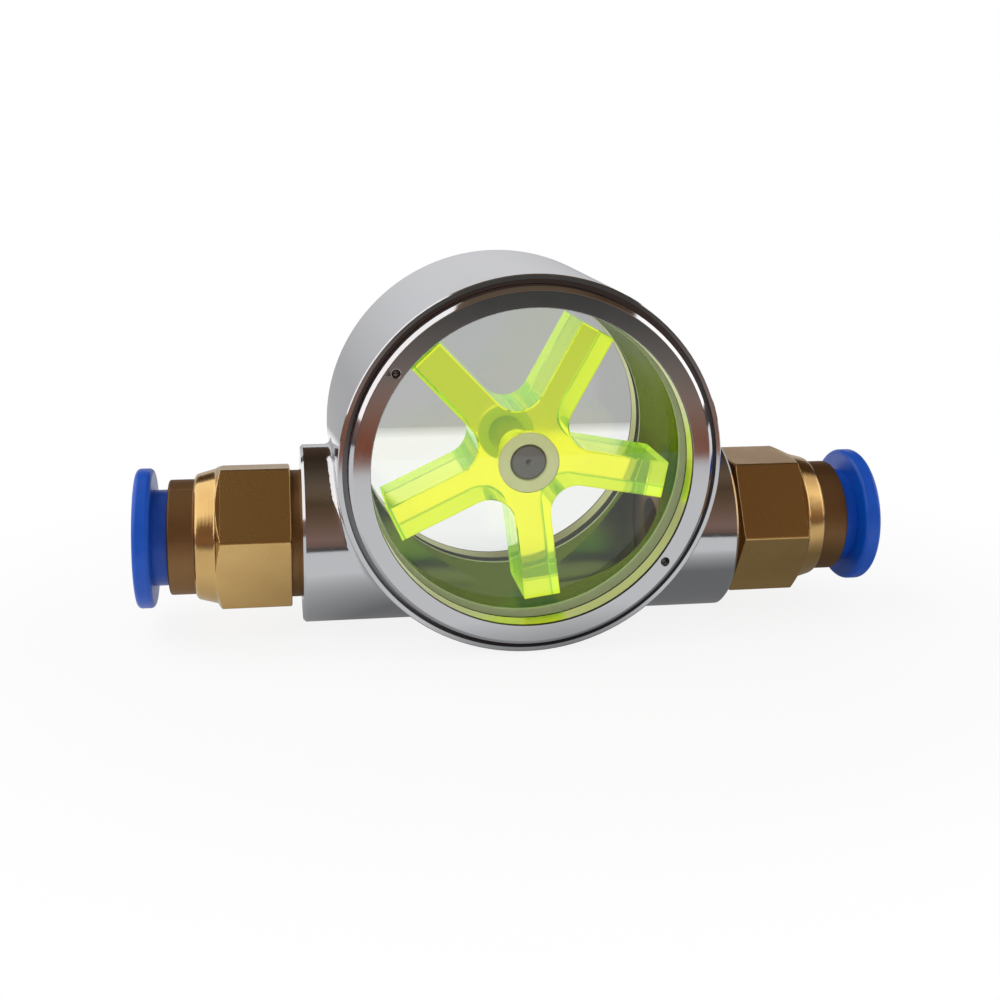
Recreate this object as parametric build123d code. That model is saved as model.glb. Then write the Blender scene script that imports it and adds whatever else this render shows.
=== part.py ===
from build123d import *
import os
from math import sqrt, tan, radians

os.makedirs("parts", exist_ok=True)

# Flow indicator: a short drum with a window in each end stands across a pipe.
# Water runs through the low side of the drum and turns a clear five-armed wheel.
# The drum's axis is Y, the pipe runs along X, +Z is up, and the front window faces -Y.
# The origin is the middle of the drum. All sizes are in millimetres.

# Drum, measured from its mid-plane and from its axis
chamber_radius = 23.5
chamber_half_depth = 10.4
seat_width = 1.75
drum_wall = 1.5
lip_wall = 0.75
lip_relief_depth = 1.2
edge_break = 0.35

# Windows, their packing rings and the screwed rings that hold them
seal_thickness = 0.6
window_thickness = 3.6
slip_ring_thickness = 0.4
ring_flange = 3.2
ring_stand = 1.3
ring_cover = 1.5
ring_skirt_wall = 1.5
ring_skirt_gap = 0.8
ring_chamfer = 0.8
window_clearance = 0.15
thread_clearance = 0.05
spanner_hole_radius = 0.65
spanner_hole_depth = 1.5
spanner_hole_angle = 144
drill_point_angle = 118

# Wheel, axle and the two bushes in the windows
axle_radius = 2.75
axle_end_play = 0.3
bush_wall = 1.85
bush_stand = 0.25
pocket_depth = 2.2
running_clearance = 0.03
push_clearance = 0.01
arm_count = 5
arm_width = 5.55
arm_angle = -10.2
root_fillet = 4.0
tip_clearance = 1.55
wheel_depth = 12.2
wheel_face_clearance = 0.15
wheel_edge_break = 0.2
centre_mark_radius = 0.45

# Pipe stubs with their threaded ports
pipe_drop = 14.0
pipe_wall = 3.85
pipe_half_length = 33.3
pipe_end_chamfer = 0.4
pipe_blend = 1.0
passage_radius = 8.9
port_end_clearance = 0.5
port_chamfer = 0.6

# Push-in fittings, measured outwards from the end of the pipe stub
spigot_radius = 9.9
spigot_length = 10.5
neck_gap = 1.65
hex_across_flats = 21.0
hex_length = 10.45
hex_chamfer_angle = 30
hex_nose_length = 0.8
hex_turn = {"left": 11.6, "right": 0.9}
shoulder_root_radius = 10.72
shoulder_nose_radius = 9.6
shoulder_length = 4.0
shoulder_round = 1.0
barrel_wall = 0.75
barrel_length = 3.9
flow_radius = 4.0

# What the fitting holds: tube seal, backing ring, grip ring and release collet
tube_radius = 5.0
tube_clearance = 0.15
socket_length = 3.6
tube_seal_section = 2.2
tube_seal_inner_radius = 5.08
seal_room_slack = 0.3
backing_ring_length = 1.8
backing_ring_bore_gap = 0.15
backing_ring_rim = 0.25
grip_thickness = 0.4
grip_play = 0.05
grip_groove_depth = 0.35
grip_slot_count = 12
grip_slot_width = 0.6
tooth_angle = 35
collet_room_length = 7.7
collet_lip_length = 1.2
collet_clearance = 0.1
collet_barb_clearance = 0.15
collet_neck_radius = 7.35
collet_barb_height = 0.6
collet_barb_length = 1.4
collet_nose_wall = 0.75
collet_nose_length = 1.9
collet_slot_count = 6
collet_slot_width = 0.9
collet_slot_length = 6.4
collet_neck_length = 2.3
collet_mouth_chamfer = 0.7
flange_radius = 10.7
flange_thickness = 2.6
flange_round = 0.7
release_travel = 1.5
release_margin = 0.3

# Radii of the drum and what fits in it, from the chamber outwards
window_radius = chamber_radius + seat_width
sight_radius = window_radius - ring_cover
ring_thread_radius = window_radius + window_clearance + ring_skirt_wall
drum_thread_radius = ring_thread_radius + thread_clearance
drum_radius = drum_thread_radius + drum_wall
lip_radius = drum_radius - lip_wall
spanner_pitch_radius = (sight_radius + ring_thread_radius - ring_chamfer) / 2

# Distances from the drum's mid-plane, from the chamber outwards
window_inner = chamber_half_depth + seal_thickness
window_outer = window_inner + window_thickness
ring_back = window_outer + slip_ring_thickness
ring_face = ring_back + ring_flange
drum_half_depth = ring_face - ring_stand
ring_skirt_end = chamber_half_depth + ring_skirt_gap

# Wheel and axle
bush_radius = axle_radius + bush_wall
axle_half_length = window_inner + pocket_depth - axle_end_play
wheel_face = window_inner - bush_stand - wheel_face_clearance
tip_radius = chamber_radius - tip_clearance

# Pipe stub and port
port_radius = spigot_radius + thread_clearance
pipe_radius = port_radius + pipe_wall
port_bottom = pipe_half_length - spigot_length - port_end_clearance

# Stations along a fitting, as distances from the drum's axis
spigot_end = pipe_half_length - spigot_length
hex_start = pipe_half_length + neck_gap
hex_end = hex_start + hex_length
barrel_start = hex_end + shoulder_length
barrel_end = barrel_start + barrel_length
lip_inner = barrel_end - collet_lip_length
room_step = lip_inner - collet_room_length
groove_end = room_step + grip_thickness + 2 * grip_play
seal_room_end = room_step - backing_ring_length - tube_seal_section - seal_room_slack
tube_stop = seal_room_end - socket_length
nose_start = room_step + release_travel + release_margin
flange_start = barrel_end + collet_neck_length
flange_end = flange_start + flange_thickness

# Radii inside a fitting
socket_radius = tube_radius + tube_clearance
seal_room_radius = tube_seal_inner_radius + tube_seal_section + push_clearance
collet_lip_radius = collet_neck_radius + collet_clearance
collet_barb_radius = collet_neck_radius + collet_barb_height
collet_room_radius = collet_barb_radius + collet_barb_clearance
barrel_radius = collet_room_radius + barrel_wall
groove_radius = collet_room_radius + grip_groove_depth
bend_radius = seal_room_radius - push_clearance - backing_ring_rim


def turned_on_drum(outline):
    """Turns a closed outline of (radius, depth) points about the drum's axis."""
    return revolve(make_face(Polyline(*outline, close=True)), axis=Axis.Y)


def turned_on_pipe(outline):
    """Turns a closed outline of (station, radius) points about the X axis."""
    return revolve(make_face(Polyline(*outline, close=True)), axis=Axis.X)


def disc(radius, start, end):
    """A plain cylinder on the drum's axis between two depths."""
    return turned_on_drum([(0, start), (radius, start), (radius, end), (0, end)])


def rod(radius, start, end):
    """A plain cylinder on the X axis between two stations."""
    return turned_on_pipe([(start, 0), (start, radius), (end, radius), (end, 0)])


def at_window(piece, side):
    """Puts a piece made for the front of the drum at its front or rear."""
    if side == "rear":
        return Rot(Z=180) * piece
    return piece


def at_stub(piece, side):
    """Puts a piece made about the X axis into the left or right pipe stub."""
    turn = 180 if side == "left" else 0
    return Pos(0, 0, -pipe_drop) * Rot(Z=turn) * piece


def make_housing():
    """Drum and cross pipe in one piece, bored for the windows and the two ports."""
    b = edge_break
    drum = turned_on_drum([
        (0, -drum_half_depth), (drum_radius - b, -drum_half_depth), (drum_radius, b - drum_half_depth),
        (drum_radius, drum_half_depth - b), (drum_radius - b, drum_half_depth), (0, drum_half_depth)])
    c = pipe_end_chamfer
    end = pipe_half_length
    pipe = turned_on_pipe([
        (-end, 0), (-end, pipe_radius - c), (c - end, pipe_radius),
        (end - c, pipe_radius), (end, pipe_radius - c), (end, 0)])
    housing = drum + Pos(0, 0, -pipe_drop) * pipe
    seam = housing.edges().filter_by(GeomType.BSPLINE)
    housing = fillet(seam, pipe_blend)
    bore = disc(chamber_radius, -drum_half_depth, drum_half_depth)
    half = turned_on_drum([
        (0, chamber_half_depth), (drum_thread_radius, chamber_half_depth),
        (drum_thread_radius, drum_half_depth - lip_relief_depth),
        (lip_radius, drum_half_depth - lip_relief_depth), (lip_radius, drum_half_depth),
        (0, drum_half_depth)])
    housing -= bore + half + Rot(Z=180) * half
    for side in ("left", "right"):
        port = rod(passage_radius, 0, end) + turned_on_pipe([
            (port_bottom, 0), (port_bottom, port_radius), (end - port_chamfer, port_radius),
            (end, port_radius + port_chamfer), (end, 0)])
        housing -= at_stub(port, side)
    return housing


def make_retaining_ring():
    """Screwed ring with a skirt round the window and two blind spanner holes in its face."""
    ring = turned_on_drum([
        (sight_radius, -ring_back), (sight_radius, -ring_face),
        (ring_thread_radius - ring_chamfer, -ring_face), (ring_thread_radius, ring_chamfer - ring_face),
        (ring_thread_radius, -ring_skirt_end), (window_radius + window_clearance, -ring_skirt_end),
        (window_radius + window_clearance, -ring_back)])
    drill_point = spanner_hole_radius / tan(radians(drill_point_angle / 2))
    hole = turned_on_drum([
        (0, 0), (spanner_hole_radius, 0), (spanner_hole_radius, spanner_hole_depth),
        (0, spanner_hole_depth + drill_point)])
    for angle in (spanner_hole_angle, spanner_hole_angle + 180):
        ring -= Rot(Y=-angle) * Pos(spanner_pitch_radius, -ring_face, 0) * hole
    return ring


def make_window():
    """Clear disc with broken edges and a blind pocket for the bush in its inner face."""
    b = edge_break
    bottom = window_inner + pocket_depth
    pocket = bush_radius + push_clearance
    return turned_on_drum([
        (pocket, -window_inner), (pocket, -bottom), (0, -bottom), (0, -window_outer),
        (window_radius - b, -window_outer), (window_radius, b - window_outer),
        (window_radius, -window_inner - b), (window_radius - b, -window_inner)])


def make_window_seal():
    """Flat ring between the seat in the drum and the window."""
    return disc(window_radius, -window_inner, -chamber_half_depth) - disc(
        chamber_radius, -window_inner, -chamber_half_depth)


def make_slip_ring():
    """Thin ring that lets the retaining ring turn on the window."""
    return disc(window_radius, -ring_back, -window_outer) - disc(sight_radius, -ring_back, -window_outer)


def make_bush():
    """Plain sleeve pushed into the window's pocket, standing a little proud of it."""
    start = -window_inner - pocket_depth
    end = bush_stand - window_inner
    return disc(bush_radius, start, end) - disc(axle_radius + running_clearance, start, end)


def make_axle():
    """Plain pin with chamfered ends and a centre mark in each."""
    b = edge_break
    r = centre_mark_radius
    return turned_on_drum([
        (0, r - axle_half_length), (r, -axle_half_length), (axle_radius - b, -axle_half_length),
        (axle_radius, b - axle_half_length), (axle_radius, axle_half_length - b),
        (axle_radius - b, axle_half_length), (r, axle_half_length), (0, axle_half_length - r)])


def make_impeller():
    """Moulded wheel: parallel-sided arms that meet in wide fillets round the axle."""
    arms = Sketch()
    for index in range(arm_count):
        turn = arm_angle + 360 / arm_count * index
        arms += Rot(Z=turn) * Pos(tip_radius / 2, 0) * Rectangle(tip_radius, arm_width)
    roots = arms.vertices().sort_by_distance((0, 0, 0))[:arm_count]
    outline = fillet(roots, root_fillet)
    wheel = extrude(Plane.XZ.offset(wheel_face - wheel_depth) * outline, wheel_depth)
    rims = wheel.edges().filter_by(Plane.XZ)
    wheel = chamfer(rims, wheel_edge_break)
    return wheel - disc(axle_radius + push_clearance, -wheel_face, wheel_depth)


def make_fitting(side):
    """Push-in fitting turned from hexagon bar: threaded spigot, hexagon, tapered shoulder and barrel."""
    spigot = turned_on_pipe([
        (spigot_end, 0), (spigot_end, spigot_radius - port_chamfer),
        (spigot_end + port_chamfer, spigot_radius), (hex_start, spigot_radius), (hex_start, 0)])
    corner = hex_across_flats / sqrt(3)
    rise = (corner - hex_across_flats / 2) * tan(radians(hex_chamfer_angle))
    bar = extrude(Plane.YZ.offset(hex_start) * RegularPolygon(corner, 6), barrel_start - hex_start)
    bar = Rot(X=-hex_turn[side] if side == "right" else hex_turn[side]) * bar
    outline = make_face(Polyline(
        (hex_start, 0), (hex_start, hex_across_flats / 2), (hex_start + rise, corner), (hex_end, corner),
        (hex_end + hex_nose_length, shoulder_root_radius), (barrel_start, shoulder_nose_radius),
        (barrel_start, 0), close=True))
    nose = outline.vertices().sort_by_distance((barrel_start, shoulder_nose_radius, 0))[0]
    envelope = revolve(fillet(nose, shoulder_round), axis=Axis.X)
    b = edge_break
    barrel = turned_on_pipe([
        (barrel_start, 0), (barrel_start, barrel_radius), (barrel_end - b, barrel_radius),
        (barrel_end, barrel_radius - b), (barrel_end, 0)])
    outside = spigot + (bar & envelope) + barrel
    bores = turned_on_pipe([
        (spigot_end, 0), (spigot_end, flow_radius), (tube_stop, flow_radius), (tube_stop, socket_radius),
        (seal_room_end, socket_radius), (seal_room_end, seal_room_radius), (room_step, seal_room_radius),
        (room_step, groove_radius), (groove_end, groove_radius),
        (groove_end, collet_room_radius), (lip_inner, collet_room_radius),
        (lip_inner, collet_lip_radius), (barrel_end, collet_lip_radius), (barrel_end, 0)])
    return outside - bores


def make_tube_seal():
    """O-ring that lies against the tube."""
    middle = seal_room_end + (seal_room_slack + tube_seal_section) / 2
    mean_radius = tube_seal_inner_radius + tube_seal_section / 2
    return revolve(Pos(middle, mean_radius) * Circle(tube_seal_section / 2), axis=Axis.X)


def make_backing_ring():
    """Ring behind the O-ring, dished where the grip ring's teeth lean in."""
    outer = seal_room_radius - push_clearance
    bore = socket_radius + backing_ring_bore_gap
    dish = (bend_radius - bore) * tan(radians(tooth_angle))
    return turned_on_pipe([
        (room_step - backing_ring_length, bore), (room_step - dish, bore), (room_step, bend_radius),
        (room_step, outer), (room_step - backing_ring_length, outer)])


def make_grip_ring():
    """Spring steel ring: a flat rim in the groove, and teeth that lean in to the tube."""
    start = room_step + grip_play
    tip = tube_radius + collet_clearance
    lean = (bend_radius - tip) * tan(radians(tooth_angle))
    t = grip_thickness
    ring = turned_on_pipe([
        (start, groove_radius - push_clearance), (start, bend_radius), (start - lean, tip),
        (start - lean + t, tip), (start + t, bend_radius), (start + t, groove_radius - push_clearance)])
    slot = Pos(start - lean / 2, 0, bend_radius / 2) * Box(2 * lean + 2 * t, grip_slot_width, bend_radius)
    for index in range(grip_slot_count):
        ring -= Rot(X=360 / grip_slot_count * index) * slot
    return ring


def make_release_collet():
    """Slit sleeve with a barb behind the fitting's lip, a neck and a round push flange."""
    stop = lip_inner - collet_clearance
    nose = socket_radius + collet_nose_wall
    c = collet_mouth_chamfer
    collet = turned_on_pipe([
        (nose_start, socket_radius), (nose_start, nose),
        (nose_start + collet_nose_length, collet_neck_radius),
        (stop - collet_barb_length, collet_neck_radius),
        (stop - collet_barb_length / 2, collet_barb_radius), (stop, collet_barb_radius),
        (stop, collet_neck_radius), (flange_start, collet_neck_radius),
        (flange_start, flange_radius), (flange_end, flange_radius),
        (flange_end, socket_radius + c), (flange_end - c, socket_radius)])
    rims = collet.edges().filter_by(GeomType.CIRCLE).group_by(SortBy.RADIUS)[-1]
    collet = fillet(rims, flange_round)
    middle = nose_start + collet_slot_length / 2
    slot = Pos(middle, 0, flange_radius / 2) * Box(collet_slot_length, collet_slot_width, flange_radius)
    for index in range(collet_slot_count):
        collet -= Rot(X=360 / collet_slot_count * (index + 0.5)) * slot
    return collet


pieces = {"housing": make_housing(), "axle": make_axle(), "impeller": make_impeller()}

for side in ("front", "rear"):
    pieces[side + "_retaining_ring"] = at_window(make_retaining_ring(), side)
    pieces[side + "_slip_ring"] = at_window(make_slip_ring(), side)
    pieces[side + "_window"] = at_window(make_window(), side)
    pieces[side + "_window_seal"] = at_window(make_window_seal(), side)
    pieces[side + "_bush"] = at_window(make_bush(), side)

for side in ("left", "right"):
    pieces[side + "_fitting"] = at_stub(make_fitting(side), side)
    pieces[side + "_tube_seal"] = at_stub(make_tube_seal(), side)
    pieces[side + "_backing_ring"] = at_stub(make_backing_ring(), side)
    pieces[side + "_grip_ring"] = at_stub(make_grip_ring(), side)
    pieces[side + "_release_collet"] = at_stub(make_release_collet(), side)

for name, piece in pieces.items():
    export_step(piece, "parts/" + name + ".step")
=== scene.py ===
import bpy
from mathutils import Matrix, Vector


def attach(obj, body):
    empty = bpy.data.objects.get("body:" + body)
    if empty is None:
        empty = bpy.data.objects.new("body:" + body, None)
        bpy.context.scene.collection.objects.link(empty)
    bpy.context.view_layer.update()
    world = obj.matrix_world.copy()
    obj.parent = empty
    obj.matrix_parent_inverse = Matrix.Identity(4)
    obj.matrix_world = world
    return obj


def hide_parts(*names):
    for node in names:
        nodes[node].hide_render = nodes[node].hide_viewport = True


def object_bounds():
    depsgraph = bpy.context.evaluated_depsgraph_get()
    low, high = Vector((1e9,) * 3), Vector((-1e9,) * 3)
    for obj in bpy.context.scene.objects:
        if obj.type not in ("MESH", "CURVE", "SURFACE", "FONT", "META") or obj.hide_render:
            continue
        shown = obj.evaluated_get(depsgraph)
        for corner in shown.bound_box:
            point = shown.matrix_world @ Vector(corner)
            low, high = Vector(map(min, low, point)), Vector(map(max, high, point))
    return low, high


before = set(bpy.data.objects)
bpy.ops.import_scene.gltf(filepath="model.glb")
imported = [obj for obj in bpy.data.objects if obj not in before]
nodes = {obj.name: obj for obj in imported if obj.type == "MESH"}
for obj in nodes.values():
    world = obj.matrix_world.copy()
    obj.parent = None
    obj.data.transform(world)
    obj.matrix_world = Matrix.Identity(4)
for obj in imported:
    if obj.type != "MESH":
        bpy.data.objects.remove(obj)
cad_box = [[float(v) for v in corner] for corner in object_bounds()]

import bmesh
import bpy
import numpy as np
from math import cos, sin, tan, radians, pi
from mathutils import Matrix

# Flow indicator: a chrome-plated drum on a through pipe, with a window in each end,
# a clear five-armed wheel inside and a brass push-in fitting at each end of the pipe.
# The drum's axis is Y, the front window faces -Y, the pipe runs along X, +Z is up.
# Sizes of its pieces are in millimetres, and sizes of the studio round it in metres.
scene = bpy.context.scene
mm = 0.001

# Camera. It stands up and to the left of the drum, about 204 mm away, and is turned
# from the drum's axis by these angles in radians, as in the photograph.
yaw, pitch, roll = 0.1549, 0.2148, 0.0126
camera_offset = np.array([6.664, 6.399, 203.733]) * mm
focal_pixels = 1287.5571
axis_pixel = (470.0, 400.0)
frame_pixels = 1000
sensor_width = 36
nearest_seen = 0.01


def turn_matrix(yaw, pitch, roll):
    """Rows are the camera's right, down and forward directions.

    They come from a turn about Z by yaw, then a tilt down by pitch, then a roll.
    """
    about_z = np.array([[cos(yaw), -sin(yaw), 0], [sin(yaw), cos(yaw), 0], [0, 0, 1]])
    level = np.array([[1, 0, 0], [0, 0, -1], [0, 1, 0]])
    tilt = np.array([[1, 0, 0], [0, cos(pitch), -sin(pitch)], [0, sin(pitch), cos(pitch)]])
    rolled = np.array([[cos(roll), -sin(roll), 0], [sin(roll), cos(roll), 0], [0, 0, 1]])
    return rolled @ tilt @ level @ about_z


def placed(right, up, back, place):
    """Matrix that puts a camera or a lamp at a place, with its own X, Y and Z in three directions."""
    matrix = np.eye(4)
    matrix[:3] = np.stack([right, up, back, place], 1)
    return Matrix(matrix.tolist())


turn = turn_matrix(yaw, pitch, roll)
camera_data = bpy.data.cameras.new("camera")
camera_data.sensor_width = sensor_width
camera_data.lens = focal_pixels / frame_pixels * sensor_width
camera_data.shift_x = 0.5 - axis_pixel[0] / frame_pixels
camera_data.shift_y = axis_pixel[1] / frame_pixels - 0.5
camera_data.clip_start = nearest_seen
camera = bpy.data.objects.new("camera", camera_data)
scene.collection.objects.link(camera)
camera.matrix_world = placed(turn[0], -turn[1], -turn[2], -turn.T @ camera_offset)
scene.camera = camera

# Room. Chrome shows what stands round it: a dim brown room in front and overhead, dimmer
# still behind. The camera sees plain white past the object, the windows let it see pale
# gray, and dull surfaces get an even white light.
room_bands = [
    (0.30, "#8A5C46"), (0.380, "#8A4A30"), (0.393, "#9C8578"), (0.407, "#7D7671"), (0.43, "#434543"),
    (0.455, "#4A4A47"), (0.49, "#7C645B"), (0.56, "#8E7268"), (0.73, "#775F4D"), (0.90, "#5A4834"),
    (0.96, "#6E5B47"), (1.0, "#6A5B4C")]
dim_from, dim_to, dim_strength = -0.2, 0.35, 0.4
fill_strength = 0.52


def linear(code):
    """sRGB hex colour to linear RGBA."""
    c = np.array([int(code[i:i + 2], 16) / 255 for i in (1, 3, 5)])
    c = np.where(c <= 0.04045, c / 12.92, ((c + 0.055) / 1.055) ** 2.4)
    return (*c.tolist(), 1.0)


def add(tree, kind, inputs=None, **settings):
    """Adds a node, sets its settings, and fills its inputs with values or links them to sockets.

    A Mix node's input 0 is its factor, 2 and 3 are its two numbers, and 6 and 7 its two colours.
    """
    node = tree.nodes.new(kind)
    for name, value in settings.items():
        setattr(node, name, value)
    for key, value in (inputs or {}).items():
        if isinstance(value, bpy.types.NodeSocket):
            tree.links.new(value, node.inputs[key])
        else:
            node.inputs[key].default_value = value
    return node


def paint(ramp, stops):
    """Fills a colour ramp with (position, hex colour) stops."""
    band = ramp.color_ramp
    while len(band.elements) < len(stops):
        band.elements.new(0.5)
    for element, (position, code) in zip(band.elements, stops):
        element.position = position
        element.color = linear(code)
    return ramp.outputs["Color"]


scene.view_settings.view_transform = "Standard"
world = bpy.data.worlds.new("room")
scene.world = world
world.use_nodes = True
tree = world.node_tree
tree.nodes.clear()
ray = add(tree, "ShaderNodeLightPath")
towards = add(tree, "ShaderNodeTexCoord")
aim = add(tree, "ShaderNodeSeparateXYZ", {0: towards.outputs["Generated"]})

# A band's position is 0 straight down, 0.5 level with the drum and 1 straight up.
rise = add(tree, "ShaderNodeMapRange", {"Value": aim.outputs["Z"], "From Min": -1.0, "From Max": 1.0})
room_tones = paint(add(tree, "ShaderNodeValToRGB", {0: rise.outputs[0]}), room_bands)
dusk = add(tree, "ShaderNodeMapRange", {
    "Value": aim.outputs["Y"], "From Min": dim_from, "From Max": dim_to,
    "To Min": 1.0, "To Max": dim_strength})
room = add(tree, "ShaderNodeBackground", {"Color": room_tones, "Strength": dusk.outputs[0]})
backdrop = add(tree, "ShaderNodeBackground", {"Color": linear("#D8D8D8")})
paper_white = add(tree, "ShaderNodeBackground", {"Color": (1, 1, 1, 1)})
fill = add(tree, "ShaderNodeBackground", {"Color": (1, 1, 1, 1), "Strength": fill_strength})
mirrored = add(tree, "ShaderNodeMixShader", {
    0: ray.outputs["Is Glossy Ray"], 1: fill.outputs[0], 2: room.outputs[0]})
refracted = add(tree, "ShaderNodeMixShader", {
    0: ray.outputs["Is Transmission Ray"], 1: mirrored.outputs[0], 2: backdrop.outputs[0]})
shown = add(tree, "ShaderNodeMixShader", {
    0: ray.outputs["Is Camera Ray"], 1: refracted.outputs[0], 2: paper_white.outputs[0]})
add(tree, "ShaderNodeOutputWorld", {"Surface": shown.outputs[0]})

# Floor. White paper that the object rests on. It melts into the white background
# beyond the object's soft shadow. Chrome and windows show a table in its place.
floor_level = cad_box[0][2]
floor_reach = 3.0
shadow_start, shadow_end, shadow_depth = 0.05, 0.10, 0.14
shadow_squeeze = 0.8


def new_material(name):
    """An empty material with its output node."""
    material = bpy.data.materials.new(name)
    material.use_nodes = True
    tree = material.node_tree
    tree.nodes.clear()
    return material, tree, tree.nodes.new("ShaderNodeOutputMaterial")


def sheet(name, half_width, near_edge, far_edge, material):
    """A flat sheet of the studio between two edges, each at its (y, z), and as wide to both sides."""
    ends = ((-1, near_edge), (1, near_edge), (1, far_edge), (-1, far_edge))
    mesh = bpy.data.meshes.new(name)
    mesh.from_pydata([(way * half_width, *edge) for way, edge in ends], [], [(0, 1, 2, 3)])
    mesh.materials.append(material)
    flat = bpy.data.objects.new(name, mesh)
    scene.collection.objects.link(flat)
    return flat


def distance_from_drum(tree, squeeze):
    """Length of the Object coordinates, with X squeezed because the pipe is longer than the drum is deep."""
    where = add(tree, "ShaderNodeTexCoord")
    oval = add(tree, "ShaderNodeMapping", {"Vector": where.outputs["Object"], "Scale": (squeeze, 1.0, 0.0)})
    return add(tree, "ShaderNodeVectorMath", {0: oval.outputs[0]}, operation="LENGTH").outputs["Value"]


paper, tree, out = new_material("white_paper")
ray = add(tree, "ShaderNodeLightPath")
bare = add(tree, "ShaderNodeMapRange", {
    "Value": distance_from_drum(tree, shadow_squeeze), "From Min": shadow_start, "From Max": shadow_end,
    "To Min": 1 - shadow_depth, "To Max": 1.0}, interpolation_type="SMOOTHSTEP")
share = add(tree, "ShaderNodeMath", {
    0: ray.outputs["Is Camera Ray"], 1: bare.outputs[0]}, operation="MULTIPLY")
lit = add(tree, "ShaderNodeBsdfDiffuse", {"Color": linear("#F6F6F5")})
white = add(tree, "ShaderNodeEmission", {"Color": (1, 1, 1, 1)})
seen = add(tree, "ShaderNodeMixShader", {0: share.outputs[0], 1: lit.outputs[0], 2: white.outputs[0]})
tree.links.new(seen.outputs[0], out.inputs["Surface"])
floor = sheet("floor", floor_reach, (-floor_reach, floor_level), (floor_reach, floor_level), paper)
floor.visible_glossy = False
floor.visible_transmission = False

# Table and wall as the chrome and the windows show them: a white table top with painted
# shade close round the object, and a gray wall behind with painted light that brightens
# it upwards.
table_front, table_back, table_side = -0.125, 0.13, 0.45
table_squeeze, near_tone, table_tone = 0.5, 0.20, 0.78
shade_start, shade_end = 0.014, 0.032
lee_width, lee_reach = 0.05, 0.018
lit_from, lit_to, lit_gain = 0.015, 0.045, 1.28
brink_from, brink_to, brink_gain = 0.119, 0.129, 0.6
wall_place, wall_side, wall_bottom, wall_top = 0.60, 1.0, -0.20, 0.172
low_height, low_tone, high_height, high_tone = -0.05, 0.47, 0.17, 0.84

# White laminate with painted light and shade: the object's shadow is painted dark on it
# and reaches further out to the right, it is painted brightest behind the object, and
# painted darker again at the far brink.
table_top, tree, out = new_material("table_top")
where = add(tree, "ShaderNodeTexCoord")
spot = add(tree, "ShaderNodeSeparateXYZ", {0: where.outputs["Object"]})
# Painted shadow of the object, reaching further out to the right.
lee = add(tree, "ShaderNodeMapRange", {
    "Value": spot.outputs["X"], "From Min": 0.0, "From Max": lee_width, "To Max": lee_reach})
clear = add(tree, "ShaderNodeMath", {
    0: distance_from_drum(tree, table_squeeze), 1: lee.outputs[0]}, operation="SUBTRACT")
close = add(tree, "ShaderNodeMapRange", {
    "Value": clear.outputs[0], "From Min": shade_start, "From Max": shade_end,
    "To Min": near_tone, "To Max": table_tone})
# Painted light behind the object, and painted shade at the far brink.
behind = add(tree, "ShaderNodeMapRange", {
    "Value": spot.outputs["Y"], "From Min": lit_from, "From Max": lit_to, "To Min": 1.0, "To Max": lit_gain})
brink = add(tree, "ShaderNodeMapRange", {
    "Value": spot.outputs["Y"], "From Min": brink_from, "From Max": brink_to,
    "To Min": 1.0, "To Max": brink_gain})
toned = add(tree, "ShaderNodeMath", {0: close.outputs[0], 1: behind.outputs[0]}, operation="MULTIPLY")
tone = add(tree, "ShaderNodeMath", {0: toned.outputs[0], 1: brink.outputs[0]}, operation="MULTIPLY")
glow = add(tree, "ShaderNodeEmission", {"Color": linear("#FFFFFF"), "Strength": tone.outputs[0]})
tree.links.new(glow.outputs[0], out.inputs["Surface"])
table = sheet("table_reflected", table_side, (table_front, floor_level), (table_back, floor_level), table_top)

# Matt gray wall paint: even from side to side, with painted light that makes it brighter the higher up.
wall_paint_and_light, tree, out = new_material("wall_paint_and_light")
where = add(tree, "ShaderNodeTexCoord")
spot = add(tree, "ShaderNodeSeparateXYZ", {0: where.outputs["Object"]})
# Painted light: brighter the higher up.
tone = add(tree, "ShaderNodeMapRange", {
    "Value": spot.outputs["Z"], "From Min": low_height, "From Max": high_height,
    "To Min": low_tone, "To Max": high_tone})
glow = add(tree, "ShaderNodeEmission", {"Color": linear("#FDFDFF"), "Strength": tone.outputs[0]})
tree.links.new(glow.outputs[0], out.inputs["Surface"])
wall = sheet("wall_reflected", wall_side, (wall_place, wall_bottom), (wall_place, wall_top), wall_paint_and_light)
for flat in (table, wall):
    flat.visible_camera = False
    flat.visible_diffuse = False
    flat.visible_shadow = False

# Lamps. Two soft boxes, one at each side and higher than the drum, as the streaks on
# the rings' chamfers show them.


def soft_box(name, place, width, height, power):
    """A rectangular soft lamp that faces the drum, its place and size in metres, its power in watts."""
    data = bpy.data.lights.new(name, "AREA")
    data.shape = "RECTANGLE"
    data.size, data.size_y, data.energy = width, height, power
    lamp = bpy.data.objects.new(name, data)
    scene.collection.objects.link(lamp)
    ahead = -np.array(place) / np.linalg.norm(place)
    right = np.cross(ahead, (0, 0, 1.0))
    right /= np.linalg.norm(right)
    lamp.matrix_world = placed(right, np.cross(right, ahead), -ahead, place)


soft_box("left_soft_box", place=(-0.468, 0.066, 0.369), width=1.00, height=0.72, power=2.9)
soft_box("right_soft_box", place=(0.54, -0.02, 0.21), width=0.42, height=0.40, power=0.80)

# Housing. Drum and pipe stubs are one brass piece, turned, polished and chrome-plated.
# Its lip stands round the screwed ring, and the groove between them is painted darker for its shade.
drum_radius, drum_half_depth, edge_break, fine_edge_break = 28.45, 16.9, 0.35, 0.15
lip_radius, groove_margin = 27.7, 0.04
chamber_radius, passage_radius, pipe_drop = 23.5, 8.9, 14.0
wave_size, wave_height, haze_size = 9, 0.3, 2
skin = 0.05


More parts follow.
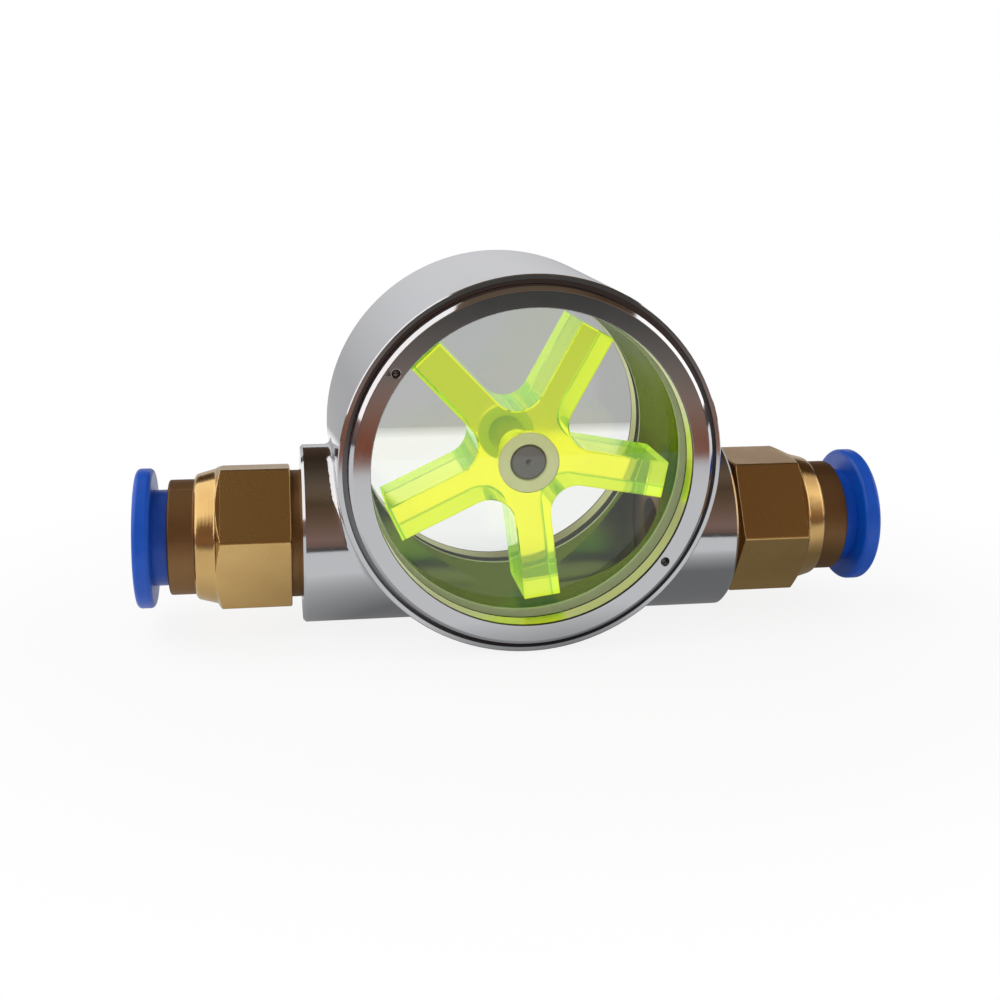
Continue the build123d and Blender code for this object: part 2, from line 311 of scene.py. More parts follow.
def within(tree, where, along, radius, drop=0):
    """1 where a point lies less than a radius from the X or Y axis, or from a line a drop below it."""
    across = [float(name != along) for name in "XYZ"]
    centred = add(tree, "ShaderNodeMapping", {
        "Vector": where, "Location": (0, 0, drop * mm), "Scale": across})
    distance = add(tree, "ShaderNodeVectorMath", {0: centred.outputs[0]}, operation="LENGTH")
    return add(tree, "ShaderNodeMath", {
        0: distance.outputs["Value"], 1: radius * mm}, operation="LESS_THAN").outputs[0]


def welded_copy(node, shift):
    """Copy of a CAD node's mesh with its corners joined and its shading kept.

    Shift gets each point's distance from the drum's axis and its depth, in millimetres, and gives
    the new ones: the point moves along its own ray and along the axis.
    """
    source = nodes[node].data
    points = np.empty(len(source.vertices) * 3, np.float32)
    source.vertices.foreach_get("co", points)
    corners = np.empty(len(source.loops), np.int32)
    source.loops.foreach_get("vertex_index", corners)
    normals = np.empty(len(source.loops) * 3, np.float32)
    source.corner_normals.foreach_get("vector", normals)
    points, number = np.unique(np.round(points.reshape(-1, 3), 7), axis=0, return_inverse=True)
    faces = number.ravel()[corners].reshape(-1, 3)
    whole = (faces != np.roll(faces, 1, axis=1)).all(1)
    radius, depth = np.hypot(points[:, 0], points[:, 2]) / mm, points[:, 1] / mm
    new_radius, new_depth = shift(radius, depth)
    stretch = np.where(radius > 0, new_radius / np.maximum(radius, 1e-9), 1)
    points = np.stack([points[:, 0] * stretch, new_depth * mm, points[:, 2] * stretch], 1)
    mesh = bpy.data.meshes.new(node + "_copy")
    mesh.from_pydata(points, [], faces[whole])
    mesh.shade_smooth()
    mesh.normals_split_custom_set(normals.reshape(-1, 3, 3)[whole].reshape(-1, 3))
    return mesh


def near(value, target, slack=0.03):
    """True where a value is a target to within the slack, all in millimetres."""
    return np.abs(value - target) < slack


def finer_edge(radius, depth):
    """Makes the drum's broken edge finer."""
    size = np.abs(depth)
    brim = near(size, drum_half_depth) & near(radius, drum_radius - edge_break)
    side = near(size, drum_half_depth - edge_break) & near(radius, drum_radius)
    radius = np.where(brim, drum_radius - fine_edge_break, radius)
    return radius, np.where(side, np.sign(depth) * (drum_half_depth - fine_edge_break), depth)


def instrument_piece(name, mesh, material, slot, *stands_for):
    """An object of the fixed body, which stands for its CAD node."""
    mesh.materials.append(material)
    piece = bpy.data.objects.new(name, mesh)
    scene.collection.objects.link(piece)
    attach(piece, "instrument")
    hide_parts(*stands_for)
    return piece


# Chrome plate, polished by hand: a mirror with a slight wave. In the bores it keeps the
# sheen of the tool and is painted olive, a painted reflection of the wheel's glow, and in
# the groove it is painted dull gray for its shade.
plated, tree, out = new_material("polished_chrome_plate")
where = add(tree, "ShaderNodeTexCoord").outputs["Object"]
wave = add(tree, "ShaderNodeTexNoise", {
    "Vector": where, "Scale": 1 / (wave_size * mm), "Detail": 1.0, "Roughness": 0.4})
swell = add(tree, "ShaderNodeBump", {
    "Height": wave.outputs["Fac"], "Strength": 0.10, "Distance": wave_height * mm})
haze = add(tree, "ShaderNodeTexNoise", {"Vector": where, "Scale": 1 / (haze_size * mm), "Detail": 4.0})
outside = add(tree, "ShaderNodeMapRange", {"Value": haze.outputs["Fac"], "To Min": 0.07, "To Max": 0.13})
inside = add(tree, "ShaderNodeMapRange", {"Value": wave.outputs["Fac"], "To Min": 0.22, "To Max": 0.30})
chamber = within(tree, where, "Y", chamber_radius + skin)
passage = within(tree, where, "X", passage_radius + skin, drop=pipe_drop)
bored = add(tree, "ShaderNodeMath", {0: chamber, 1: passage}, operation="MAXIMUM").outputs[0]
groove = within(tree, where, "Y", lip_radius + groove_margin)
dull = add(tree, "ShaderNodeMath", {0: bored, 1: groove}, operation="MAXIMUM").outputs[0]
rough = add(tree, "ShaderNodeMix", {0: dull, 2: outside.outputs[0], 3: inside.outputs[0]}).outputs[0]
# Painted shade: the groove is painted dull gray. Painted reflection: the bores are painted olive, and greener
# at grazing angles, for the wheel's glow.
shaded = add(tree, "ShaderNodeMix", {
    0: groove, 6: linear("#CDCED1"), 7: linear("#7E7E80")}, data_type="RGBA").outputs[2]
tone = add(tree, "ShaderNodeMix", {
    0: bored, 6: shaded, 7: linear("#74843F")}, data_type="RGBA").outputs[2]
grazing = add(tree, "ShaderNodeMix", {
    0: bored, 6: linear("#FFFFFF"), 7: linear("#A9B37C")}, data_type="RGBA").outputs[2]
plate = add(tree, "ShaderNodeBsdfPrincipled", {
    "Base Color": tone, "Metallic": 1.0, "Roughness": rough, "Specular Tint": grazing,
    "Normal": swell.outputs[0]})
tree.links.new(plate.outputs[0], out.inputs["Surface"])
instrument_piece("housing_body", welded_copy("housing", finer_edge), plated, "chrome_plate", "housing")

# Retaining rings. Each is a turned brass ring, faced, bored and chrome-plated like the
# drum, and screwed in behind the drum's lip by two blind spanner holes.
ring_radius, ring_face, ring_bore = 26.9, 18.2, 23.75
ring_chamfer, fine_chamfer, ring_edge = 0.8, 0.6, 0.12
edge_shade_width, bore_roughness = 0.5, 0.30
facing_step, mark_height, film_size = 0.3, 0.02, 3


def finer_chamfer(radius, depth):
    """Moves both edges of the ring's chamfer towards its corner."""
    size = np.abs(depth)
    inner = near(size, ring_face) & near(radius, ring_radius - ring_chamfer)
    outer = near(size, ring_face - ring_chamfer) & near(radius, ring_radius)
    radius = np.where(inner, ring_radius - fine_chamfer, radius)
    return radius, np.where(outer, np.sign(depth) * (ring_face - fine_chamfer), depth)


def join_flats(mesh, flat_angle=radians(0.2)):
    """Joins flat triangles that share an edge into whole faces, which a bevel can run along.

    The shading kept from the CAD node no longer fits the new faces, so it is taken off.
    """
    form = bmesh.new()
    form.from_mesh(mesh)
    bmesh.ops.dissolve_limit(form, angle_limit=flat_angle, verts=form.verts, edges=form.edges)
    form.to_mesh(mesh)
    form.free()
    mesh.attributes.remove(mesh.attributes["custom_normal"])


def rounded_edges(piece, width, sharp_angle=radians(25)):
    """Rounds an object's edges over a width in millimetres and keeps its flat faces flat."""
    bevel = piece.modifiers.new("rounded_edges", "BEVEL")
    bevel.width = width * mm
    bevel.segments = 2
    bevel.limit_method = "ANGLE"
    bevel.angle_limit = sharp_angle
    piece.modifiers.new("flat_faces_stay_flat", "WEIGHTED_NORMAL")


def line_scale(step):
    """Scale of a Wave texture that puts its lines a step in millimetres apart: pi / (10 step)."""
    return pi / (10 * step * mm)


# Chrome plate on a faced surface: a mirror with faint rings, drawn coarser than the tool
# leaves them so that they show. The bore keeps the yellow of the brass under its thin
# plating, painted greener for the wheel's glow, with a painted dark line of shade at its
# edge, and the two holes are painted darker for the shade in them.
faced, tree, out = new_material("faced_chrome_plate")
where = add(tree, "ShaderNodeTexCoord").outputs["Object"]
marks = add(tree, "ShaderNodeTexWave", {
    "Vector": where, "Scale": line_scale(facing_step), "Distortion": 0.4, "Detail": 2.0,
    "Detail Scale": 3.0}, wave_type="RINGS", rings_direction="Y")
lines = add(tree, "ShaderNodeBump", {
    "Height": marks.outputs["Fac"], "Strength": 0.02, "Distance": mark_height * mm})
haze = add(tree, "ShaderNodeTexNoise", {"Vector": where, "Scale": 1 / (film_size * mm), "Detail": 3.0})
outside = add(tree, "ShaderNodeMapRange", {"Value": haze.outputs["Fac"], "To Min": 0.06, "To Max": 0.12})
bored = within(tree, where, "Y", ring_bore + skin)
rough = add(tree, "ShaderNodeMix", {0: bored, 2: outside.outputs[0], 3: bore_roughness}).outputs[0]
spot = add(tree, "ShaderNodeSeparateXYZ", {0: where})
depth = add(tree, "ShaderNodeMath", {0: spot.outputs["Y"]}, operation="ABSOLUTE").outputs[0]
# Painted shade: a dark line round the bore next to the face. The rest of the bore is brass yellow, painted
# greener for the wheel's glow.
brim = add(tree, "ShaderNodeMath", {
    0: depth, 1: (ring_face - edge_shade_width) * mm}, operation="GREATER_THAN").outputs[0]
bore_tone = add(tree, "ShaderNodeMix", {
    0: brim, 6: linear("#DFE294"), 7: linear("#0C0D08")}, data_type="RGBA").outputs[2]
# Painted shade: the two spanner holes are a darker gray than the face.
sunk = add(tree, "ShaderNodeMath", {
    0: depth, 1: (ring_face - skin) * mm}, operation="LESS_THAN").outputs[0]
inward = within(tree, where, "Y", ring_radius - ring_chamfer)
holes = add(tree, "ShaderNodeMath", {0: sunk, 1: inward}, operation="MULTIPLY").outputs[0]
face_tone = add(tree, "ShaderNodeMix", {
    0: holes, 6: linear("#CDCED1"), 7: linear("#A0A0A0")}, data_type="RGBA").outputs[2]
tone = add(tree, "ShaderNodeMix", {0: bored, 6: face_tone, 7: bore_tone}, data_type="RGBA").outputs[2]
plate = add(tree, "ShaderNodeBsdfPrincipled", {
    "Base Color": tone, "Metallic": 1.0, "Roughness": rough, "Normal": lines.outputs[0]})
tree.links.new(plate.outputs[0], out.inputs["Surface"])
for side in ("front", "rear"):
    mesh = welded_copy(side + "_retaining_ring", finer_chamfer)
    join_flats(mesh)
    ring = instrument_piece(side + "_screwed_ring", mesh, faced, "chrome_plate", side + "_retaining_ring")
    rounded_edges(ring, ring_edge)

# Windows. Each is a disc of clear acrylic, held in its seat by the retaining ring, with a
# blind pocket in its inner face for the axle's bush.
grain_size = 6

# Cast acrylic with polished faces: clear as glass, a trace gray, with the least unevenness
# in its gloss. Lamps shine through it on what is inside.
acrylic, tree, out = new_material("clear_cast_acrylic")
ray = add(tree, "ShaderNodeLightPath")
where = add(tree, "ShaderNodeTexCoord").outputs["Object"]
grain = add(tree, "ShaderNodeTexNoise", {"Vector": where, "Scale": 1 / (grain_size * mm), "Detail": 2.0})
rough = add(tree, "ShaderNodeMapRange", {"Value": grain.outputs["Fac"], "To Min": 0.0, "To Max": 0.02})
pane = add(tree, "ShaderNodeBsdfPrincipled", {
    "Base Color": linear("#FCFDFC"), "Transmission Weight": 1.0, "Roughness": rough.outputs[0], "IOR": 1.49})
clear = add(tree, "ShaderNodeBsdfTransparent", {"Color": linear("#F5F5F5")})
both = add(tree, "ShaderNodeMixShader", {
    0: ray.outputs["Is Shadow Ray"], 1: pane.outputs[0], 2: clear.outputs[0]})
tree.links.new(both.outputs[0], out.inputs["Surface"])
for side in ("front", "rear"):
    nodes[side + "_window"].data.materials[0] = acrylic

# Seals. A gray silicone ring lies under each window, and a thin black rubber ring lets the
# screwed ring turn on the window. A hair's gap keeps each clear of the acrylic.
seat_depth, window_inner, window_outer, ring_back = 10.4, 11.0, 14.6, 15.0
seat_radius, window_radius = 23.5, 25.25
seal_edge, hair = 0.08, 0.02
curing_size, bloom_size = 1.5, 0.8


def rounded(corners, rounds, steps=4):
    """Rounds the corners of closed outlines, given as (outline, corner, (station, radius)).

    An arc of radius r touches both sides r tan(turn / 2) from the corner; its points turn evenly
    about its centre, r to the inner side of the first of them. A round of 0 keeps the corner itself.
    """
    after = np.roll(corners, -1, axis=1) - corners
    after /= np.linalg.norm(after, axis=2, keepdims=True)
    before = np.roll(after, 1, axis=1)
    cross = before[..., 0] * after[..., 1] - before[..., 1] * after[..., 0]
    turned = np.arctan2(cross, (before * after).sum(2))
    rows = []
    for index, r in enumerate(rounds):
        corner = corners[:, index]
        if r == 0:
            rows.append(corner[:, None])
            continue
        along, angle = before[:, index], turned[:, index, None]
        inner = np.sign(angle) * np.stack([-along[:, 1], along[:, 0]], 1)
        centre = corner - along * r * np.tan(np.abs(angle) / 2) + inner * r
        swing = angle * np.linspace(0, 1, steps + 1)
        spoke = -inner[:, None] * r
        rows.append(centre[:, None] + np.stack([
            spoke[..., 0] * np.cos(swing) - spoke[..., 1] * np.sin(swing),
            spoke[..., 0] * np.sin(swing) + spoke[..., 1] * np.cos(swing)], 2))
    return np.concatenate(rows, axis=1)


def spun(outlines, angles):
    """Points at (station, radius cos angle, radius sin angle), one outline for each angle or one for all."""
    station, radius = np.broadcast_arrays(outlines[..., 0], outlines[..., 1])
    shape = (len(angles), station.shape[1])
    station, radius = np.broadcast_to(station, shape), np.broadcast_to(radius, shape)
    return np.stack([station, radius * np.cos(angles)[:, None], radius * np.sin(angles)[:, None]], 2)


def closed_grid(name, points):
    """Mesh of a grid of points in millimetres that closes on itself both ways.

    Its faces point outwards where the outline's outer side runs towards higher stations.
    """
    rows, columns = points.shape[:2]
    number = np.arange(rows * columns).reshape(rows, columns)
    across = np.roll(number, -1, axis=0)
    faces = np.stack([number, across, np.roll(across, -1, axis=1), np.roll(number, -1, axis=1)], 2)
    mesh = bpy.data.meshes.new(name)
    mesh.from_pydata(points.reshape(-1, 3) * mm, [], faces.reshape(-1, 4))
    mesh.shade_smooth()
    return mesh


def turned_on_drum(name, depths, inner, outer, edge, turns=144):
    """A plain ring about the drum's axis between two depths and two radii, its edges rounded."""
    start, end = sorted(depths)
    corners = np.array([[(start, inner), (start, outer), (end, outer), (end, inner)]], float)
    angles = np.arange(turns) * 2 * pi / turns
    return closed_grid(name, spun(rounded(corners, [edge] * 4), angles)[..., [2, 0, 1]])


# Moulded silicone: soft gray with a faint cloud, and a painted glow for the wheel's light inside it.
silicone, tree, out = new_material("gray_silicone")
where = add(tree, "ShaderNodeTexCoord").outputs["Object"]
cloud = add(tree, "ShaderNodeTexNoise", {"Vector": where, "Scale": 1 / (curing_size * mm), "Detail": 3.0})
tone = add(tree, "ShaderNodeMix", {
    0: cloud.outputs["Fac"], 6: linear("#C4C7AC"), 7: linear("#D6D9C0")}, data_type="RGBA").outputs[2]
gum = add(tree, "ShaderNodeBsdfPrincipled", {
    "Base Color": tone, "Roughness": 0.5, "IOR": 1.41,
    "Emission Color": linear("#B9D070"), "Emission Strength": 0.16})
tree.links.new(gum.outputs[0], out.inputs["Surface"])

# Moulded nitrile rubber: nearly black and matt, with the faint gray bloom that it gets.
rubber, tree, out = new_material("black_nitrile_rubber")
where = add(tree, "ShaderNodeTexCoord").outputs["Object"]
bloom = add(tree, "ShaderNodeTexNoise", {"Vector": where, "Scale": 1 / (bloom_size * mm), "Detail": 4.0})
tone = add(tree, "ShaderNodeMix", {
    0: bloom.outputs["Fac"], 6: linear("#0B0B0C"), 7: linear("#1E1E1D")}, data_type="RGBA").outputs[2]
gum = add(tree, "ShaderNodeBsdfPrincipled", {"Base Color": tone, "Roughness": 0.55, "IOR": 1.52})
tree.links.new(gum.outputs[0], out.inputs["Surface"])
for side, facing in (("front", -1), ("rear", 1)):
    depths = (facing * seat_depth, facing * (window_inner - hair))
    mesh = turned_on_drum(side + "_flat_seal", depths, seat_radius, window_radius - hair, seal_edge)
    instrument_piece(side + "_flat_seal", mesh, silicone, "silicone", side + "_window_seal")
    depths = (facing * (window_outer + hair), facing * (ring_back - hair))
    mesh = turned_on_drum(side + "_sliding_ring", depths, ring_bore, window_radius - hair, seal_edge)
    instrument_piece(side + "_sliding_ring", mesh, rubber, "black_rubber", side + "_slip_ring")

# Wheel. One moulding of clear, fluorescent acrylic with five parallel-sided arms. It turns
# with its axle when water runs through the low side of the drum.
wheel_flow_size, wheel_ripple = 4, 0.2

# Fluorescent acrylic: clear, with a dye that takes the blue out of light within a few
# millimetres and glows in daylight. The glow is painted as a steady light of its own,
# yellow from the two flat faces and greener from the edges. The mould leaves its surface
# faintly rippled.
fluorescent, tree, out = new_material("fluorescent_acrylic")
ray = add(tree, "ShaderNodeLightPath")
where = add(tree, "ShaderNodeTexCoord").outputs["Object"]
flow = add(tree, "ShaderNodeTexNoise", {
    "Vector": where, "Scale": 1 / (wheel_flow_size * mm), "Detail": 2.0})
ripple = add(tree, "ShaderNodeBump", {
    "Height": flow.outputs["Fac"], "Strength": 0.12, "Distance": wheel_ripple * mm})
rough = add(tree, "ShaderNodeMapRange", {"Value": flow.outputs["Fac"], "To Min": 0.05, "To Max": 0.12})
facing = add(tree, "ShaderNodeSeparateXYZ", {0: add(tree, "ShaderNodeNewGeometry").outputs["Normal"]})
flatness = add(tree, "ShaderNodeMath", {0: facing.outputs["Y"]}, operation="ABSOLUTE")
# Painted glow: yellower on the flat faces, greener on the edges.
shine = add(tree, "ShaderNodeMix", {
    0: flatness.outputs[0], 6: linear("#8CFF20"), 7: linear("#A0FF00")}, data_type="RGBA").outputs[2]
body = add(tree, "ShaderNodeBsdfPrincipled", {
    "Base Color": linear("#FEFEEA"), "Transmission Weight": 0.96, "Roughness": rough.outputs[0], "IOR": 1.49,
    "Normal": ripple.outputs[0], "Emission Color": shine, "Emission Strength": 0.15})
clear = add(tree, "ShaderNodeBsdfTransparent", {"Color": linear("#E6F58C")})
both = add(tree, "ShaderNodeMixShader", {
    0: ray.outputs["Is Shadow Ray"], 1: body.outputs[0], 2: clear.outputs[0]})
tree.links.new(both.outputs[0], out.inputs["Surface"])
dye = add(tree, "ShaderNodeVolumeAbsorption", {"Color": linear("#FEF959"), "Density": 330.0})
tree.links.new(dye.outputs[0], out.inputs["Volume"])
nodes["impeller"].data.materials[0] = fluorescent

# Axle and grip rings. The axle is a turned pin of stainless steel with a centre mark in
# each end. The toothed rings that grip the tubes are stainless spring steel.
turning_step = 0.2

# Stainless steel, turned and left unpolished: a dull gray with fine rings, drawn coarser
# than the tool leaves them so that they show.
steel, tree, out = new_material("turned_stainless_steel")
where = add(tree, "ShaderNodeTexCoord").outputs["Object"]
marks = add(tree, "ShaderNodeTexWave", {
    "Vector": where, "Scale": line_scale(turning_step), "Distortion": 0.5},
    wave_type="RINGS", rings_direction="Y")
lines = add(tree, "ShaderNodeBump", {
    "Height": marks.outputs["Fac"], "Strength": 0.25, "Distance": mark_height * mm})
pin = add(tree, "ShaderNodeBsdfPrincipled", {
    "Base Color": linear("#76746D"), "Metallic": 1.0, "Roughness": 0.32, "Normal": lines.outputs[0]})
tree.links.new(pin.outputs[0], out.inputs["Surface"])
for name in ("axle", "left_grip_ring", "right_grip_ring"):
    nodes[name].data.materials[0] = steel

# Bushes and backing rings. The bushes are moulded sleeves in the windows' pockets, in
# which the axle turns. The backing rings in the fittings are of the same polymer.
pocket_bottom, bush_face = 13.2, 10.75
bush_radius, bush_bore, bush_edge = 4.58, 2.79, 0.15
cloud_size = 1.2

# Ivory acetal: waxy and faintly clouded, with a faint painted glow for the wheel's light that shows through
# it.
ivory, tree, out = new_material("ivory_acetal")
where = add(tree, "ShaderNodeTexCoord").outputs["Object"]
cloud = add(tree, "ShaderNodeTexNoise", {"Vector": where, "Scale": 1 / (cloud_size * mm), "Detail": 3.0})
tone = add(tree, "ShaderNodeMix", {
    0: cloud.outputs["Fac"], 6: linear("#E3E8A4"), 7: linear("#EEF2BC")}, data_type="RGBA").outputs[2]
polymer = add(tree, "ShaderNodeBsdfPrincipled", {
    "Base Color": tone, "Roughness": 0.4, "IOR": 1.48,
    "Emission Color": linear("#E8EC94"), "Emission Strength": 0.16})
tree.links.new(polymer.outputs[0], out.inputs["Surface"])
for side, facing in (("front", -1), ("rear", 1)):
    depths = (facing * (pocket_bottom - hair), facing * bush_face)
    mesh = turned_on_drum(side + "_axle_sleeve", depths, bush_bore, bush_radius, bush_edge)
    instrument_piece(side + "_axle_sleeve", mesh, ivory, "ivory_polymer", side + "_bush")
for side in ("left", "right"):
    nodes[side + "_backing_ring"].data.materials[0] = ivory

# Push-in fittings. Each is turned from drawn hexagon brass bar: a threaded spigot in the
# pipe stub, the hexagon, a tapered shoulder and a thin barrel, bored in steps that hold
# the tube's seal, the grip ring and the collet. The seal is a rubber O-ring.
spigot_end, pipe_end, hex_start, hex_end = 22.8, 33.3, 34.95, 45.4
root_station, shoulder_end, barrel_end = 46.15, 49.4, 53.3
flat_radius, flat_round, face_radius, least_chamfer = 10.5, 0.6, 11.7, 0.15
root_radius, nose_radius, barrel_radius, soft_root = 10.42, 9.55, 8.85, 0.08
thread_mean, thread_depth, thread_pitch, lead_in = 9.85, 0.62, 1.814, 0.6
thread_start, thread_end, fade_in, fade_out = spigot_end + 0.5, pipe_end + 0.3, 0.5, 0.9
hex_turn = {"left": 11.6, "right": -0.9}
tarnish_size, grain_length, grain_width = 7, 6, 0.2
barrel_roughness, sliver = 0.55, 0.01

# The bore from the open end inwards: its mouth, the room for the collet's legs, the
# groove of the grip ring, the seat of backing ring and seal, the tube, and the water.
bore_stations = [barrel_end, 52.1, 44.9, 44.4, 40.1, 36.5, spigot_end]
bore_radii = [7.45, 8.1, 8.45, 7.29, 5.15, 4.0]

# Half the angle that a rounded corner takes, seen from the hexagon's middle.
corner_span = pi / 6 - np.arctan((flat_radius - flat_round) / flat_radius * tan(pi / 6))


def hexagon_angles(corner_points=6, flat_points=12):
    """Angles round a hexagon from one corner, close together on the rounded corners."""
    corner = np.linspace(-corner_span, corner_span, corner_points)
    flat = np.linspace(corner_span, pi / 3 - corner_span, flat_points + 2)[1:-1]
    return (np.concatenate([corner, flat])[None] + np.arange(6)[:, None] * pi / 3).ravel()


def hexagon_radius(angles):
    """Distance to a rounded hexagon.

    It is the flat's own / cos(angle from its middle) or, near a corner, the distance to a circle
    that touches both flats: m cos(angle) + sqrt(round^2 - (m sin(angle))^2), with its middle at m.
    """
    off_corner = np.abs((angles + pi / 6) % (pi / 3) - pi / 6)
    flat = flat_radius / np.cos(pi / 6 - off_corner)
    middle = (flat_radius - flat_round) / cos(pi / 6)
    inside = np.maximum(flat_round ** 2 - (middle * np.sin(off_corner)) ** 2, 0)
    return np.where(off_corner < corner_span, middle * np.cos(off_corner) + np.sqrt(inside), flat)


def fitting_outlines(angles):
    """One closed outline of (station, radius) for each angle.

    The hexagon's flats run between the two places where the turned profile cuts them: a 30 degree
    chamfer that takes the corners off at the start, and the shoulder at the end. The shoulder is a
    steep cone a and a gentle one b, whichever is larger, blended by s log(e^(a / s) + e^(b / s))
    with a small s. The thread is its mean radius plus half its depth times
    sin(2 pi (station / pitch - turn)), so it moves on by one pitch a turn, and it fades out to a
    plain neck. Stations on the shoulder lie closer together near the hexagon, and the last one
    leaves room for the nose's round.
    """
    reach = hexagon_radius(angles)
    face = np.minimum(reach - least_chamfer, face_radius)
    rise = hex_start + (reach - face) * tan(radians(30))
    along = np.linspace(hex_end, shoulder_end, 400)
    gentle_slope = (root_radius - nose_radius) / (shoulder_end - root_station)
    steep_slope = (reach.max() - root_radius) / (root_station - hex_end)
    gentle = root_radius - (along - root_station) * gentle_slope
    steep = reach.max() - (along - hex_end) * steep_slope
    shoulder = soft_root * np.logaddexp(steep / soft_root, gentle / soft_root)
    fall = np.interp(-reach, -shoulder, along)
    thread_stations = np.linspace(spigot_end + lead_in, hex_start - 0.1, 81)
    shoulder_shares = np.linspace(0.2, 1, 16) ** 2 * 0.74
    corners, rounds = [], []

    def put(station, radius, edge=0):
        """Adds a corner to every outline, with the radius of its round."""
        corners.append(np.stack(np.broadcast_arrays(station, radius, angles)[:2], 1))
        rounds.append(edge)

    put(spigot_end, thread_mean - lead_in, edge=0.15)
    for station in thread_stations:
        fade = min((station - thread_start) / fade_in, (thread_end - station) / fade_out)
        turns = station / thread_pitch - angles / (2 * pi)
        put(station, thread_mean + np.clip(fade, 0, 1) * thread_depth / 2 * np.sin(2 * pi * turns))
    put(hex_start, thread_mean, edge=0.08)
    put(hex_start, face, edge=0.05)
    put(rise, reach, edge=0.15)
    put(fall, reach, edge=0.12)
    for share in shoulder_shares:
        station = fall + share * (shoulder_end - fall)
        put(station, np.interp(station, along, shoulder))
    put(shoulder_end, nose_radius, edge=0.8)
    put(shoulder_end, barrel_radius, edge=0.15)
    put(barrel_end, barrel_radius, edge=0.35)
    for start, end, radius in zip(bore_stations, bore_stations[1:], bore_radii):
        put(start, radius, edge=0.12)
        put(end, radius, edge=0.12)
    return rounded(np.stack(corners, 1), rounds)


def on_pipe(points, side):
    """Moves points made about the X axis down to the pipe's, out to the right or turned to the left."""
    way = -1 if side == "left" else 1
    return points * (way, way, 1) - (0, 0, pipe_drop)


# Brass with a light tarnish: the drawn flats are satin with a grain along the bar, the
# turned shoulder is brighter with rings round it, and barrel and neck are dull and brown.
# Grain and rings are coarser than the real ones so that they show.
brass, tree, out = new_material("turned_brass")
where = add(tree, "ShaderNodeTexCoord").outputs["Object"]
tarnish = add(tree, "ShaderNodeTexNoise", {
    "Vector": where, "Scale": 1 / (tarnish_size * mm), "Detail": 5.0, "Roughness": 0.6})
clean = add(tree, "ShaderNodeMix", {
    0: tarnish.outputs["Fac"], 6: linear("#E2C080"), 7: linear("#C89E62")}, data_type="RGBA").outputs[2]
drawn = add(tree, "ShaderNodeMapping", {
    "Vector": where, "Scale": [1 / (size * mm) for size in (grain_length, grain_width, grain_width)]})
streaks = add(tree, "ShaderNodeTexNoise", {"Vector": drawn.outputs[0], "Scale": 1.0, "Detail": 3.0})
marks = add(tree, "ShaderNodeTexWave", {
    "Vector": where, "Scale": line_scale(turning_step), "Distortion": 0.6, "Detail": 1.0},
    wave_type="BANDS", bands_direction="X")
spot = add(tree, "ShaderNodeSeparateXYZ", {0: where})
station = add(tree, "ShaderNodeMath", {0: spot.outputs["X"]}, operation="ABSOLUTE").outputs[0]
off_middle = add(tree, "ShaderNodeMath", {
    0: station, 1: (hex_start + hex_end) / 2 * mm}, operation="SUBTRACT")
distance = add(tree, "ShaderNodeMath", {0: off_middle.outputs[0]}, operation="ABSOLUTE")
on_flats = add(tree, "ShaderNodeMath", {
    0: distance.outputs[0], 1: (hex_end - hex_start) / 2 * mm}, operation="LESS_THAN").outputs[0]
on_barrel = add(tree, "ShaderNodeMath", {
    0: station, 1: shoulder_end * mm}, operation="GREATER_THAN").outputs[0]
on_neck = add(tree, "ShaderNodeMath", {
    0: station, 1: (hex_start - sliver) * mm}, operation="LESS_THAN").outputs[0]
dull = add(tree, "ShaderNodeMath", {0: on_barrel, 1: on_neck}, operation="MAXIMUM").outputs[0]
tone = add(tree, "ShaderNodeMix", {0: dull, 6: clean, 7: linear("#93704A")}, data_type="RGBA").outputs[2]
relief = add(tree, "ShaderNodeMix", {
    0: on_flats, 2: marks.outputs["Fac"], 3: streaks.outputs["Fac"]}).outputs[0]
lines = add(tree, "ShaderNodeBump", {"Height": relief, "Strength": 0.35, "Distance": mark_height * mm})
drawn_rough = add(tree, "ShaderNodeMapRange", {
    "Value": tarnish.outputs["Fac"], "To Min": 0.22, "To Max": 0.34})
turned_rough = add(tree, "ShaderNodeMapRange", {
    "Value": tarnish.outputs["Fac"], "To Min": 0.14, "To Max": 0.22})
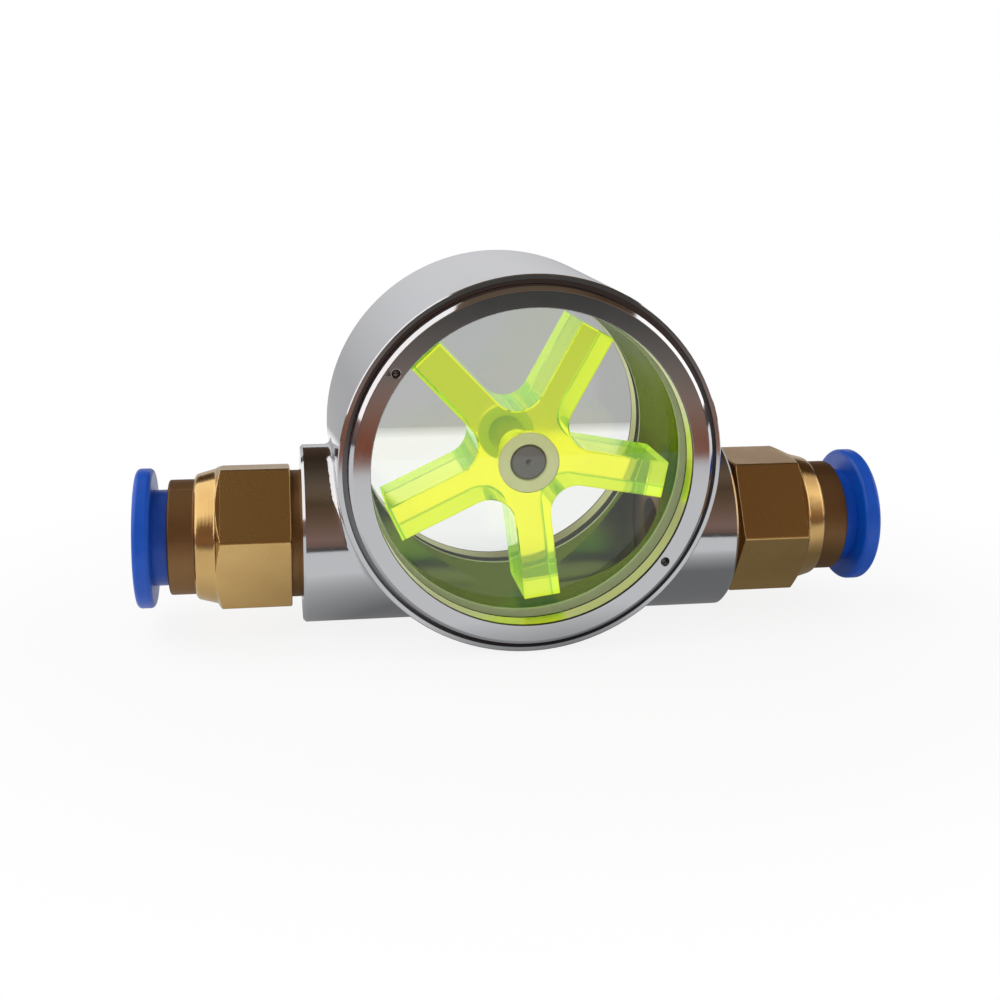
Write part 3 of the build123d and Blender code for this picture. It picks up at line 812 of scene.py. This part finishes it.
bright = add(tree, "ShaderNodeMix", {
    0: on_flats, 2: turned_rough.outputs[0], 3: drawn_rough.outputs[0]}).outputs[0]
rough = add(tree, "ShaderNodeMix", {0: dull, 2: bright, 3: barrel_roughness}).outputs[0]
metal = add(tree, "ShaderNodeBsdfPrincipled", {
    "Base Color": tone, "Metallic": 1.0, "Roughness": rough, "Normal": lines.outputs[0]})
tree.links.new(metal.outputs[0], out.inputs["Surface"])
angles = hexagon_angles()
for side in ("left", "right"):
    points = spun(fitting_outlines(angles), angles + radians(hex_turn[side]))
    mesh = closed_grid(side + "_fitting_body", on_pipe(points, side))
    fitting = instrument_piece(side + "_fitting_body", mesh, brass, "brass", side + "_fitting")
    fitting.modifiers.new("flat_faces_stay_flat", "WEIGHTED_NORMAL")
    nodes[side + "_tube_seal"].data.materials[0] = rubber

# Release collets. Each is a moulded sleeve with a round flange outside and sprung legs
# inside, which slides in its fitting: pushed in, it frees the tube.
collet_flow_size, collet_ripple = 2.5, 0.1

# Blue acetal: strong in colour and half glossy, with the faint flow marks of moulding.
blue, tree, out = new_material("blue_acetal")
where = add(tree, "ShaderNodeTexCoord").outputs["Object"]
flow = add(tree, "ShaderNodeTexNoise", {
    "Vector": where, "Scale": 1 / (collet_flow_size * mm), "Detail": 3.0})
tone = add(tree, "ShaderNodeMix", {
    0: flow.outputs["Fac"], 6: linear("#004CB6"), 7: linear("#0058CE")}, data_type="RGBA").outputs[2]
ripple = add(tree, "ShaderNodeBump", {
    "Height": flow.outputs["Fac"], "Strength": 0.1, "Distance": collet_ripple * mm})
rough = add(tree, "ShaderNodeMapRange", {"Value": flow.outputs["Fac"], "To Min": 0.28, "To Max": 0.4})
polymer = add(tree, "ShaderNodeBsdfPrincipled", {
    "Base Color": tone, "Roughness": rough.outputs[0], "IOR": 1.48, "Normal": ripple.outputs[0]})
tree.links.new(polymer.outputs[0], out.inputs["Surface"])
for side in ("left", "right"):
    nodes[side + "_release_collet"].data.materials[0] = blue
